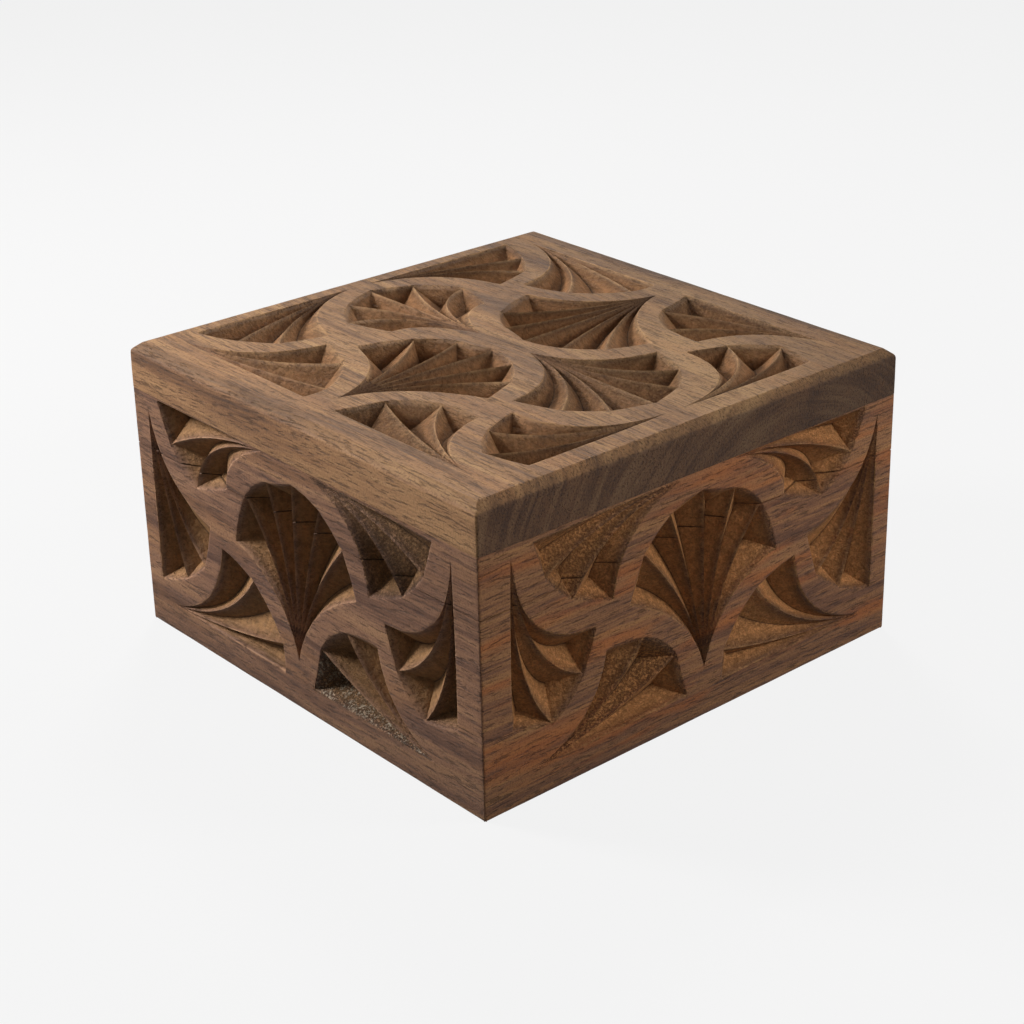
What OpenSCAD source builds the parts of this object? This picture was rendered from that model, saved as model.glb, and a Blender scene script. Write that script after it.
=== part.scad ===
// Carved wooden puzzle box: a swivel lid on a hidden dowel, held shut by a gravity
// pin that is freed through a sliding bottom panel. All sizes are in millimetres.
// Origin: centre of the underside. The lid, the walls and their carving share one
// pattern of seven chip-carved fans, which runs on across the seam.

/* [Box] */
// Outside width, along X
body_w = 100; // [90:1:120]
// Outside depth, along Y
body_d = 100; // [90:1:120]
// Outside height, with the lid on
body_h = 57.3; // [52:0.1:70]
// Thickness of the side boards
wall_t = 9; // [8:0.5:12]
// Bevel along the top edges
edge_bevel = 1.8; // [0.5:0.1:3]

/* [Lid] */
// Height of the whole lid, from the seam to the top
lid_h = 20.1; // [17:0.1:22]
// Thickness of the top board
board_t = 9; // [8:0.1:10]
// Open seam between the lid and the base
seam_gap = 0.2; // [0.1:0.05:0.5]

/* [Base] */
// Thickness of the fixed floor board
floor_t = 4.8; // [4:0.1:8]
// Thickness of the sliding bottom panel
panel_t = 2.8; // [2:0.1:4]
// Height of the panel's underside over the table
panel_lift = 1.2; // [1:0.1:2]
// Depth of the grooves that guide the panel
groove_d = 3; // [2:0.1:4]
// Running clearance of the panel in its grooves, on each side
panel_play = 0.2; // [0.1:0.05:0.4]
// How far the panel slides out at the back
panel_travel = 22; // [12:1:28]

/* [Pivot] */
// Side of the square corner posts
post_w = 16; // [14:0.5:20]
// Diameter of the pivot dowel
dowel_d = 8; // [6:0.5:9]
// Running clearance round the dowel, on the radius
dowel_play = 0.05; // [0.02:0.01:0.1]
// Diameter of the retaining washer
washer_d = 12; // [11:0.5:13]
// Thickness of the retaining washer
washer_t = 1; // [0.8:0.1:1.5]
// Diameter of the retaining screw's shank
screw_d = 3.2; // [2.5:0.1:3.5]
// Length of the retaining screw's shank
screw_len = 14; // [8:1:18]
// Diameter of the retaining screw's head
screw_head_d = 7.6; // [6:0.2:9]
// Height of the retaining screw's head
screw_head_h = 2.2; // [1.5:0.1:2.5]

/* [Lock] */
// Diameter of the gravity pin
pin_d = 5; // [4:0.2:6]
// Length of the gravity pin
pin_len = 10; // [9:0.1:10.2]
// How far the pin drops into the base
pin_drop = 7; // [5:0.1:7.5]
// Running clearance round the pin, on the radius
pin_play = 0.1; // [0.05:0.05:0.2]
// Diameter of the hole through which the pin is pushed up
push_d = 3.2; // [2:0.1:3.6]
// Diameter of the peg that stops the panel
stop_d = 3; // [2:0.1:4]

/* [Carving] */
// Plain border under the side carving
border_bottom = 5.8; // [4.5:0.1:7]
// Plain border at the front and back of the carved top
border_top = 7.6; // [5:0.1:9]
// Depth of the deepest chips
chip_depth = 4; // [2:0.1:4.5]
// Depth of the ridges between two chips, under the surface
ridge_drop = 0.3; // [0.1:0.05:0.5]
// Facets along each chip
chip_steps = 4; // [3:1:5]

/* [Hidden] */
$fn = 64;

eps = 0.01;                              // overshoot of cuts past a face
glue_gap = 0.02;                         // radial room of a glued peg in its hole
end_gap = 0.1;                           // room past the end of a moving piece

inner_w = body_w - 2 * wall_t;           // between the left and right walls
inner_d = body_d - 2 * wall_t;           // between the front and back walls
z_seam = body_h - lid_h;
z_base_top = z_seam - seam_gap / 2;
z_lid_bottom = z_seam + seam_gap / 2;
z_board = body_h - board_t;              // underside of the top board
z_floor = panel_lift + panel_t + panel_play;
z_inside = z_floor + floor_t;            // top of the floor board

post_x = inner_w / 2 - post_w / 2;       // centre of the corner posts
post_y = inner_d / 2 - post_w / 2;
counter_d = washer_d + 1;                // counterbore under the pivot post
screw_sink = 1.2;                        // room under the screw's head
z_screw = z_inside + screw_sink;         // underside of the screw's head
z_washer = z_screw + screw_head_h;
z_dowel = z_washer + washer_t;
z_counter = z_dowel + 2 * end_gap;       // roof of the counterbore

pin_rise = 0.6;                          // the raised pin clears the seam by this
z_pin = z_lid_bottom + pin_rise;         // underside of the raised pin
z_pin_step = z_pin - pin_drop - end_gap; // seat of the dropped pin in the base

stop_y = 20;                             // the stop peg stands here on the centre line
stop_sink = 0.4;                         // the peg ends this far inside its slot
slot_play = 0.3;                         // room round the peg in its slot
nick_d = 22;                             // thumb nick under the panel
nick_depth = 1;
nick_y = -inner_d / 4;
pilot_room = 1;                          // the screw's hole runs on past its point
washer_play = 0.1;                       // room round the screw in its washer
driver_slot = 1;                         // width and depth of the slot in its head

// ---- The pattern of one carved field, in its own units -------------------------
// The field is 100 wide. Its carving lies between 5.8 and 48.2 above the table.
// A fan spreads from its tip over curved ridges, with a V-shaped chip between each
// two of them. A fan is [tip, ridges, chips]. A ridge is [bend, end]: it leaves the
// tip, leans on the bend and stops at its end. A chip is [deep end, rim, depth],
// with its depth as a share of the deepest one, and its rim is on the strap's edge.
// The ridges and chips of a fan are listed clockwise, as seen from outside.
pattern_w = 100;
pattern_bottom = 5.8;
pattern_top = 48.2;

leaves_top_left = [[41.5, 48.2],
    [[[29.2, 43.8], [29.3, 37]], [[21.5, 45.5], [19.3, 34]],
     [[25.5, 47.5], [11.7, 40.3]], [[25, 48.2], [8.3, 48]]],
    [[[25.8, 38.6], [24.2, 34.9], 0.85], [[18.6, 38.6], [14.8, 36.6], 0.9],
     [[12.8, 44.8], [9.4, 44.3], 1]]];
fan_left = [[4.7, 45.5],
    [[[7.8, 30.8], [22.8, 27.3]], [[9.4, 26.2], [19.8, 18]],
     [[7.5, 28.2], [13.2, 13.2]], [[4.6, 28], [4.6, 10.3]]],
    [[[18.8, 22.6], [21.6, 22.4], 0.75], [[15.3, 17.4], [16.6, 15.2], 0.8],
     [[8.3, 13.4], [9, 11.2], 0.85]]];
fan_middle = [[49, 9.8],
    [[[45.8, 23.4], [31.3, 27.3]], [[45.8, 26], [35.3, 37.3]],
     [[47.8, 27.2], [41.8, 42.3]], [[49.3, 27], [49.5, 44.4]],
     [[51.2, 25.6], [57.4, 42.2]], [[51.7, 23.7], [63.6, 36.8]],
     [[52, 22.1], [67, 28.4]]],
    [[[35.6, 29.2], [32.6, 32.6], 1], [[38, 36.5], [38, 40.6], 1],
     [[45.3, 39.5], [45.8, 43.3], 1], [[53, 40], [53.6, 44], 1],
     [[58.7, 36.6], [60.8, 40], 0.95], [[62.6, 29.4], [65.7, 33], 0.85]]];
fan_top_right = [[55.5, 47.8],
    [[[72, 47.8], [88.4, 47.3]], [[72.4, 47.7], [85.8, 40]],
     [[71.4, 46.6], [79.8, 34.1]], [[69.4, 44.2], [71, 31]]],
    [[[84.6, 43.6], [87.2, 43.6], 0.75], [[80.5, 38.6], [83.2, 36.7], 0.88],
     [[73.2, 34.7], [75.8, 32.3], 0.92]]];
leaves_right = [[93.2, 45.8],
    [[[93.8, 30], [93.5, 14.8]], [[93.6, 22.7], [84.8, 12.8]],
     [[90.8, 24.6], [77.9, 19.5]], [[91.6, 27.6], [75, 27.3]]],
    [[[90, 16], [89.2, 13.4], 0.85], [[83.2, 18.3], [80.6, 15.6], 0.95],
     [[78.3, 24], [76, 23.4], 1]]];
leaves_bottom_left = [[8, 5.8],
    [[[24, 9.2], [26.3, 24]], [[26.7, 8.1], [35.7, 20.9]],
     [[27.2, 6.8], [44, 11.3]], [[26, 5.8], [44.3, 5.8]]],
    [[[29.3, 19.3], [30.8, 23.2], 1], [[37.4, 14.8], [40.6, 17], 0.82],
     [[41, 8.6], [44.6, 8.5], 0.6]]];
fan_bottom_right = [[87.5, 5.8],
    [[[70, 5.8], [53.3, 5.8]], [[70.2, 8.4], [56, 14.7]],
     [[71, 10.6], [63.6, 21]], [[74.6, 9.6], [72.5, 21.9]]],
    [[[58.4, 8.4], [54.8, 10.4], 1], [[61.8, 15], [58.9, 18.7], 1],
     [[69.8, 18.6], [68.2, 22], 0.82]]];
pattern = [leaves_top_left, fan_left, fan_middle, fan_top_right, leaves_right,
    leaves_bottom_left, fan_bottom_right];

// A point on the curve from a to c that leans on b
function bend(a, b, c, t) = (1 - t) * (1 - t) * a + 2 * t * (1 - t) * b + t * t * c;

// One line of a fan from its tip: even numbers are ridges, odd ones are valleys
function fan_line(fan, i, t) =
    i % 2 == 0
        ? concat(bend(fan[0], fan[1][i / 2][0], fan[1][i / 2][1], t), [-ridge_drop * t])
        : let (k = (i - 1) / 2, chip = fan[2][k])
          concat(
              bend(fan[0], (fan[1][k][0] + fan[1][k + 1][0]) / 2, chip[0], t),
              [-chip_depth * chip[2] * t]
          );

// The floor of a fan: its tip, its rows of points and the rim of each chip
function fan_floor(fan, lines) = concat(
    [concat(fan[0], [-ridge_drop / 4])],
    [for (r = [1:chip_steps], i = [0:lines - 1]) fan_line(fan, i, r / chip_steps)],
    [for (chip = fan[2]) concat(chip[1], [-ridge_drop])]
);

// Triangles of the floor, by the numbers of its points
function fan_tiles(lines) =
    let (last = 1 + (chip_steps - 1) * lines, rim = last + lines)
    concat(
        [for (i = [0:lines - 2]) [0, 1 + i, 2 + i]],
        [for (r = [0:chip_steps - 2], i = [0:lines - 2], half = [0, 1])
            let (a = 1 + r * lines + i, b = a + lines)
            half == 0 ? [a, b, b + 1] : [a, b + 1, a + 1]],
        [for (k = [0:(lines - 3) / 2], side = [0, 1])
            let (v = last + 2 * k + 1)
            side == 0 ? [v - 1, rim + k, v] : [v, rim + k, v + 1]]
    );

// The outline of a fan, by the numbers of its points
function fan_outline(lines) =
    let (last = 1 + (chip_steps - 1) * lines, rim = last + lines)
    concat(
        [0],
        [for (r = [0:chip_steps - 1]) 1 + r * lines],
        [for (k = [0:(lines - 3) / 2], side = [0, 1])
            side == 0 ? rim + k : last + 2 * k + 2],
        [for (r = [chip_steps - 2:-1:0]) (r + 1) * lines]
    );

// The wood that one fan takes away, over a field that lies in the XY plane
module fan_cut(fan, across, up, low) {
    lines = 2 * len(fan[1]) - 1;
    proud = 1;
    floor_points = [for (p = fan_floor(fan, lines))
        [p[0] * across, low + (p[1] - pattern_bottom) * up, p[2]]];
    roof_points = [for (p = floor_points) [p[0], p[1], proud]];
    n = len(floor_points);
    tiles = fan_tiles(lines);
    edge = fan_outline(lines);
    m = len(edge);
    walls = [for (i = [0:m - 1], half = [0, 1])
        let (a = edge[i], b = edge[(i + 1) % m])
        half == 0 ? [a, b, b + n] : [a, b + n, a + n]];
    polyhedron(
        points = concat(floor_points, roof_points),
        faces = concat(
            [for (t = tiles) [t[0], t[2], t[1]]],
            [for (t = tiles) [t[0] + n, t[1] + n, t[2] + n]],
            walls
        ),
        convexity = 6
    );
}

// All seven fans on a field of the given width, between two heights
module carving(field_w, low, high) {
    for (fan = pattern)
        fan_cut(fan, field_w / pattern_w, (high - low) / (pattern_top - pattern_bottom), low);
}

// ---- Boards ---------------------------------------------------------------------
// A mitred side board from z0 to z1 with its outside on the XZ plane. The carving is
// laid over the full height of the box, so it runs on from the base to the lid.
module side_board(side_w, z0, z1, mirrored) {
    difference() {
        translate([0, 0, z0])
            linear_extrude(height = z1 - z0)
                polygon([
                    [-side_w / 2, 0], [side_w / 2, 0],
                    [side_w / 2 - wall_t, wall_t], [wall_t - side_w / 2, wall_t]
                ]);
        mirror([mirrored ? 1 : 0, 0, 0])
            translate([-side_w / 2, 0, 0])
                rotate([90, 0, 0])
                    carving(side_w, border_bottom, z_board - end_gap);
    }
}

// Puts a board that was made for the front on one of the four sides
module on_side(side) {
    if (side == "front")
        translate([0, -body_d / 2, 0]) children();
    if (side == "back")
        rotate([0, 0, 180]) translate([0, -body_d / 2, 0]) children();
    if (side == "right")
        rotate([0, 0, 90]) translate([0, -body_w / 2, 0]) children();
    if (side == "left")
        rotate([0, 0, -90]) translate([0, -body_w / 2, 0]) children();
}

// Groove in a wall's inside that guides the bottom panel
module panel_groove(side_w) {
    translate([-side_w / 2, wall_t - groove_d, panel_lift - panel_play])
        cube([side_w, groove_d + eps, panel_t + 2 * panel_play]);
}

module rim(side) {
    side_w = side == "front" || side == "back" ? body_w : body_d;
    color("saddlebrown")
        on_side(side)
            side_board(side_w, z_lid_bottom, z_board, side == "left" || side == "right");
}

module wall(side) {
    side_w = side == "front" || side == "back" ? body_w : body_d;
    color("sienna")
        on_side(side)
            difference() {
                side_board(side_w, 0, z_base_top, side == "left" || side == "right");
                panel_groove(side_w);
            }
}

// The back wall lets the bottom panel out under its lower edge
module back_wall() {
    notch_w = inner_w + 2 * groove_d;
    color("sienna")
        on_side("back")
            difference() {
                side_board(body_w, 0, z_base_top, false);
                translate([-notch_w / 2, -eps, -eps])
                    cube([notch_w, wall_t + 2 * eps, z_floor + eps]);
            }
}

// A long triangular bar that bevels the top edge of one side
module edge_cut(side_w) {
    past = 1;
    translate([-side_w / 2 - eps, 0, body_h])
        rotate([90, 0, 90])
            linear_extrude(height = side_w + 2 * eps)
                polygon([
                    [-past, -edge_bevel - past], [-past, past], [edge_bevel + past, past]
                ]);
}

// The top board carries the pattern twice, the second time mirrored
module lid_top_board() {
    half = body_d / 2;
    overlap = 0.1;
    color("peru")
        difference() {
            translate([-body_w / 2, -body_d / 2, z_board])
                cube([body_w, body_d, board_t]);
            for (side = ["front", "back"])
                on_side(side) edge_cut(body_w);
            for (side = ["left", "right"])
                on_side(side) edge_cut(body_d);
            for (flip = [0, 1])
                mirror([0, flip, 0])
                    translate([-body_w / 2, -half, body_h])
                        carving(body_w, border_top, half + overlap);
        }
}

module floor_board() {
    color("burlywood")
        difference() {
            translate([-inner_w / 2, -inner_d / 2, z_floor])
                cube([inner_w, inner_d, floor_t]);
            translate([post_x, -post_y, z_floor - eps])
                cylinder(d = push_d, h = floor_t + 2 * eps);
            translate([0, stop_y, z_floor - eps])
                cylinder(d = stop_d + 2 * glue_gap, h = floor_t + 2 * eps);
        }
}

// The sliding panel, with the slot for its stop peg and a thumb nick below
module bottom_panel() {
    panel_w = inner_w + 2 * (groove_d - panel_play);
    front_y = -inner_d / 2 - groove_d + panel_play;
    slot_w = stop_d + 2 * slot_play;
    color("tan")
        difference() {
            translate([-panel_w / 2, front_y, panel_lift])
                cube([panel_w, body_d / 2 - front_y, panel_t]);
            translate([-slot_w / 2, stop_y - panel_travel, panel_lift - eps])
                cube([slot_w, panel_travel, panel_t + 2 * eps]);
            for (y = [stop_y, stop_y - panel_travel])
                translate([0, y, panel_lift - eps])
                    cylinder(d = slot_w, h = panel_t + 2 * eps);
            translate([0, nick_y, panel_lift - eps])
                cylinder(d = nick_d, h = nick_depth + eps);
        }
}

module panel_stop_peg() {
    color("wheat")
        translate([0, stop_y, panel_lift + stop_sink])
            cylinder(d = stop_d, h = z_inside - panel_lift - stop_sink);
}

// ---- Pivot and lock ----------------------------------------------------------------
// A square block in a corner of the box, from z0 to z1
module corner_block(x, y, z0, z1) {
    translate([x - post_w / 2, y - post_w / 2, z0])
        cube([post_w, post_w, z1 - z0]);
}

module pivot_post() {
    color("burlywood")
        difference() {
            corner_block(-post_x, post_y, z_inside, z_base_top);
            translate([-post_x, post_y, z_inside - eps])
                cylinder(d = counter_d, h = z_counter - z_inside + eps);
            translate([-post_x, post_y, z_inside])
                cylinder(d = dowel_d + 2 * dowel_play, h = z_base_top - z_inside + eps);
        }
}

module lid_pivot_block() {
    color("burlywood")
        difference() {
            corner_block(-post_x, post_y, z_lid_bottom, z_board);
            translate([-post_x, post_y, z_lid_bottom - eps])
                cylinder(d = dowel_d + 2 * glue_gap, h = z_board - z_lid_bottom + 2 * eps);
        }
}

module pivot_dowel() {
    color("wheat")
        translate([-post_x, post_y, z_dowel])
            difference() {
                cylinder(d = dowel_d, h = z_board - z_dowel);
                translate([0, 0, -eps])
                    cylinder(
                        d = screw_d + 2 * glue_gap,
                        h = screw_len - washer_t + pilot_room + eps
                    );
            }
}

module pivot_washer() {
    color("silver")
        translate([-post_x, post_y, z_washer])
            difference() {
                cylinder(d = washer_d, h = washer_t);
                translate([0, 0, -eps])
                    cylinder(d = screw_d + 2 * washer_play, h = washer_t + 2 * eps);
            }
}

module pivot_screw() {
    color("silver")
        translate([-post_x, post_y, z_screw])
            difference() {
                union() {
                    cylinder(d = screw_head_d, h = screw_head_h);
                    cylinder(d = screw_d, h = screw_head_h + screw_len);
                }
                translate([-screw_head_d / 2 - eps, -driver_slot / 2, -eps])
                    cube([screw_head_d + 2 * eps, driver_slot, driver_slot]);
            }
}

module lock_post() {
    color("burlywood")
        difference() {
            corner_block(post_x, -post_y, z_inside, z_base_top);
            translate([post_x, -post_y, z_pin_step])
                cylinder(d = pin_d + 2 * pin_play, h = z_base_top - z_pin_step + eps);
            translate([post_x, -post_y, z_inside - eps])
                cylinder(d = push_d, h = z_pin_step - z_inside + 2 * eps);
        }
}

module lid_lock_block() {
    color("burlywood")
        difference() {
            corner_block(post_x, -post_y, z_lid_bottom, z_board);
            translate([post_x, -post_y, z_lid_bottom - eps])
                cylinder(d = pin_d + 2 * pin_play, h = z_board - z_lid_bottom + 2 * eps);
        }
}

module lock_pin() {
    color("silver")
        translate([post_x, -post_y, z_pin])
            cylinder(d = pin_d, h = pin_len);
}

lid_top_board();
rim("front");  // lid_front_rim
rim("back");  // lid_back_rim
rim("left");  // lid_left_rim
rim("right");  // lid_right_rim
lid_pivot_block();
lid_lock_block();
pivot_dowel();
pivot_washer();
pivot_screw();
lock_pin();
wall("front");  // base_front_wall
back_wall();  // base_back_wall
wall("left");  // base_left_wall
wall("right");  // base_right_wall
floor_board();
pivot_post();
lock_post();
panel_stop_peg();
bottom_panel();
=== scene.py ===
"""Looks of the carved wooden puzzle box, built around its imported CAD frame."""
import math

import bmesh
import bpy
import numpy as np
from mathutils import Matrix, Vector, noise
from mathutils.geometry import delaunay_2d_cdt


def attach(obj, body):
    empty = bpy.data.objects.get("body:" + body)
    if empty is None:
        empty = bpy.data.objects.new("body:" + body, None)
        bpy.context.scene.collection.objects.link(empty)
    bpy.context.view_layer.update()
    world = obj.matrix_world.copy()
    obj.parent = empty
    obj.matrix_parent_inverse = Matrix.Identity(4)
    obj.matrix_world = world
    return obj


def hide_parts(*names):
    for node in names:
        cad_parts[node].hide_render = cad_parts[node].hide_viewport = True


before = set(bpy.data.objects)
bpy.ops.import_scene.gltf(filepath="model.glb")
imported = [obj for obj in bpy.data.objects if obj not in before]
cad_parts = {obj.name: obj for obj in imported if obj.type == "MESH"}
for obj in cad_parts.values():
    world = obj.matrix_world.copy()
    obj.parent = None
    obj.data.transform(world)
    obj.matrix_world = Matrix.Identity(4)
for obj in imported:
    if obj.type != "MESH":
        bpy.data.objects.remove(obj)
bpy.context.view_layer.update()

MM = 0.001

# ---- Sizes, in millimetres, as in the CAD source ---------------------------------
BODY_W = 100.0
HALF = BODY_W / 2
BODY_H = 57.3
WALL_T = 9.0
Z_BOARD = 48.3
Z_BASE_TOP = 37.1
Z_LID_BOTTOM = 37.3
GROOVE = (1.0, 4.2)
GROOVE_DEPTH = 3.0
BACK_NOTCH = (44.0, 4.2)
BEVEL = 2.0
# Softened edges of the side boards: the corners, the seam and the foot
CORNER_R = 0.45
SEAM_R = 0.09
FOOT_R = 0.4
ROUNDING = 0.8
CORNER_LOOPS = (0.35, 0.7, 1.0)

# ---- The carved pattern -------------------------------------------------------------
# A fan is (tip, ridges, chips). A ridge is (bend, end), a curve that leaves the tip.
# A chip between two ridges is (deep end, rim, depth, pitted).
FAN_ROWS = 26
END_ROWS = 6
# How far the ridges and the outline lie under the face
RIDGE_SINK = 0.3
EDGE_SINK = 0.1
# Where the columns lie on a chip's two facets, from ridge to valley and on to the ridge
ACROSS_DOWN = (0.0, 0.06, 0.14, 0.3, 0.5, 0.7, 0.88, 0.97)
ACROSS_UP = (0.0, 0.03, 0.12, 0.3, 0.5, 0.7, 0.86, 0.94)
PER_CHIP = len(ACROSS_DOWN) + len(ACROSS_UP)
# Wear on the ridges, and painted shade in the valleys, by the number of columns away from a ridge
# or a valley
CREST_WEAR = {0: 1.0, 1: 0.6}
VALLEY_PAINTED_SHADE = {0: 1.0, 1: 0.6}
RIM_WEAR = 0.4
# Painted shade at each fan's tip, where the valleys meet
TIP_PAINTED_SHADE = 0.5
# Painted shade on the chips where a board's end cuts them, between lid, base and top
SEAM_PAINTED_SHADE = 0.8
# The hollow of a facet: its mean and how much it varies
BELLY = (0.12, 0.3)
# The share of a chip's length near the tip, where wear and painted shade fade
NEAR_TIP = 0.3
# How far the rim bulges past its middle point, and how the end facets curve up to it
RIM_LEAN = 0.55
RIM_RISE = 0.85
# The plain wood: the step and jitter of its points, how far they keep from the border
# and from an outline, and how far outside an outline two rows of points lie
GRID_STEP = 1.25
JITTER = 0.3
BORDER_GAP = 0.3
OUTLINE_GAP = 0.12
SKIRT = (0.22, 0.6)

TOP_BORDER = 7.6
MERGED = ("leaves_top_left", "fan_top_right")
CORNER_STEPS = 6
BEVEL_WEAR = 0.35
# Rings round the top board from its flat outward and down: (inset, corner radius, drop)
TOP_RINGS = (
    (1.85, 0.3, 0.03), (1.65, 0.3, 0.14), (1.0, 0.35, 0.66), (0.32, 0.4, 1.22), (0.14, 0.45, 1.42),
    (0.04, 0.45, 1.66), (0, 0.45, 2.0), (0, 0.45, 3.2), (0, 0.45, 5.2), (0, 0.45, 7.2),
    (0, 0.45, 8.8), (0.03, 0.45, 8.94), (0.09, 0.45, 9.0),
)
DEEPEST = 4.0
PAINTS = ("sunk", "pit", "worn", "crease")

PATTERN = {
    "leaves_top_left": (
        (41.5, 48.2),
        [((29.2, 43.8), (29.3, 37)), ((21.5, 45.5), (19.3, 34)),
         ((25.5, 47.5), (11.7, 40.3)), ((25, 48.2), (8.3, 48))],
        [((25.8, 38.6), (24.2, 34.9), 3.4, 0), ((18.6, 38.6), (14.8, 36.6), 3.6, 0),
         ((12.8, 44.8), (9.4, 44.3), 4, 0)],
    ),
    "fan_left": (
        (4.7, 45.5),
        [((7.8, 30.8), (22.8, 27.3)), ((9.4, 26.2), (19.8, 18)),
         ((7.5, 28.2), (13.2, 13.2)), ((4.6, 28), (4.6, 10.3))],
        [((18.8, 22.6), (21.6, 22.4), 3, 0), ((15.3, 17.4), (16.6, 15.2), 3.2, 0),
         ((8.3, 13.4), (9, 11.2), 3.4, 0)],
    ),
    "fan_middle": (
        (49, 9.8),
        [((45.8, 23.4), (31.3, 27.3)), ((45.8, 26), (35.3, 37.3)),
         ((47.8, 27.2), (41.8, 42.3)), ((49.3, 27), (49.5, 44.4)),
         ((51.2, 25.6), (57.4, 42.2)), ((51.7, 23.7), (63.6, 36.8)),
         ((52, 22.1), (67, 28.4))],
        [((35.6, 29.2), (32.6, 32.6), 4, 0), ((38, 36.5), (38, 40.6), 4, 0),
         ((45.3, 39.5), (45.8, 43.3), 4, 0), ((53, 40), (53.6, 44), 4, 0),
         ((58.7, 36.6), (60.8, 40), 3.8, 0), ((62.6, 29.4), (65.7, 33), 3.4, 0)],
    ),
    "fan_top_right": (
        (55.5, 47.8),
        [((72, 47.8), (88.4, 47.3)), ((72.4, 47.7), (85.8, 40)),
         ((71.4, 46.6), (79.8, 34.1)), ((69.4, 44.2), (71, 31))],
        [((84.6, 43.6), (87.2, 43.6), 3, 0.7), ((80.5, 38.6), (83.2, 36.7), 3.5, 0.7),
         ((73.2, 34.7), (75.8, 32.3), 3.7, 0.5)],
    ),
    "leaves_right": (
        (93.2, 45.8),
        [((93.8, 30), (93.5, 14.8)), ((93.6, 22.7), (84.8, 12.8)),
         ((90.8, 24.6), (77.9, 19.5)), ((91.6, 27.6), (75, 27.3))],
        [((90, 16), (89.2, 13.4), 3.4, 0.3), ((83.2, 18.3), (80.6, 15.6), 3.8, 0),
         ((78.3, 24), (76, 23.4), 4, 0)],
    ),
    "leaves_bottom_left": (
        (8, 5.8),
        [((24, 9.2), (26.3, 24)), ((26.7, 8.1), (35.7, 20.9)),
         ((27.2, 6.8), (44, 11.3)), ((26, 5.8), (44.3, 5.8))],
        [((29.3, 19.3), (30.8, 23.2), 4, 0), ((37.4, 14.8), (40.6, 17), 3.3, 0),
         ((41, 8.6), (44.6, 8.5), 2.4, 0)],
    ),
    "fan_bottom_right": (
        (87.5, 5.8),
        [((70, 5.8), (53.3, 5.8)), ((70.2, 8.4), (56, 14.7)),
         ((71, 10.6), (63.6, 21)), ((74.6, 9.6), (72.5, 21.9))],
        [((58.4, 8.4), (54.8, 10.4), 4, 1), ((61.8, 15), (58.9, 18.7), 4, 0.3),
         ((69.8, 18.6), (68.2, 22), 3.3, 0)],
    ),
}
# How pitted each chip of a fan is, where a side differs from the pattern
PITTED = {
    ("right", "fan_bottom_right"): (0, 0.9, 0.7),
    ("right", "leaves_bottom_left"): (0.2, 0.4, 0),
}
# The least pitting of any chip on a side, and the share of the pattern's on the top
ROUGH_CUT = {"right": 0.35, "left": 0.2}
TOP_PITS = 0.4
PATTERN_LOW = 5.8
PATTERN_HIGH = 48.2
# The pattern ends this far under the top board, and on the top this far past its middle
PATTERN_GAP = 0.1


def bend(a, b, c, t):
    """Points on the curve from a to c that leans on b."""
    a, b, c = (np.array(p, float) for p in (a, b, c))
    t = np.asarray(t, float)[:, None]
    return (1 - t) ** 2 * a + 2 * t * (1 - t) * b + t * t * c


class Patch:
    """Vertices (u, v, depth), faces and the paint values of one carved surface."""

    def __init__(self):
        self.points = []
        self.paints = []
        self.faces = []

    def add(self, point, pit=0.0, worn=0.0, crease=0.0):
        self.points.append(tuple(float(x) for x in point))
        self.paints.append((float(point[2]) / DEEPEST, float(pit), worn, crease))
        return len(self.points) - 1

    def face(self, *corners):
        ring = [c for i, c in enumerate(corners) if c != corners[i - 1]]
        if len(set(ring)) > 2:
            self.faces.append(tuple(ring))


def fan_columns(fan, t):
    """The lines from the tip across all chips, as a grid of (u, v, depth), with how
    hollow each column is and the number of its chip."""
    tip, ridges, chips = fan
    lines = []
    for k, (lean, end) in enumerate(ridges):
        sink = EDGE_SINK if k in (0, len(ridges) - 1) else RIDGE_SINK
        lines.append(np.c_[bend(tip, lean, end, t), EDGE_SINK / 2 + (sink - EDGE_SINK / 2) * t])
        if k < len(chips):
            lean_v = (np.array(lean) + np.array(ridges[k + 1][0])) / 2
            deep, depth = chips[k][0], chips[k][2]
            lines.append(np.c_[bend(tip, lean_v, deep, t), EDGE_SINK / 2 + depth * t])
    columns, belly, chip_of = [], [], []
    for i in range(len(lines) - 1):
        for s in ACROSS_DOWN if i % 2 == 0 else ACROSS_UP:
            columns.append((1 - s) * lines[i] + s * lines[i + 1])
            belly.append(4 * s * (1 - s))
            chip_of.append(i // 2)
    columns.append(lines[-1])
    belly.append(0.0)
    chip_of.append(len(chips) - 1)
    return np.stack(columns, 1), belly, chip_of


def rim_line(ridges, chips):
    """Where the end facets meet the face: an arc of (u, v, depth) for each chip."""
    rim = []
    last = len(chips) - 1
    for c, chip in enumerate(chips):
        a, b = ridges[c][1], ridges[c + 1][1]
        middle = np.array(chip[1])
        lean = 2 * middle - (np.array(a) + np.array(b)) / 2
        lean = middle + (lean - middle) * RIM_LEAN
        w = np.linspace(0, 1, PER_CHIP + 1)
        sinks = np.interp(w, (0, 0.15, 0.85, 1), (RIDGE_SINK, EDGE_SINK, EDGE_SINK, RIDGE_SINK))
        if c == 0:
            sinks[0] = EDGE_SINK
        if c == last:
            sinks[-1] = EDGE_SINK
        rim.extend(np.c_[bend(a, lean, b, w), sinks][: PER_CHIP + (c == last)])
    return np.array(rim)


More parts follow.
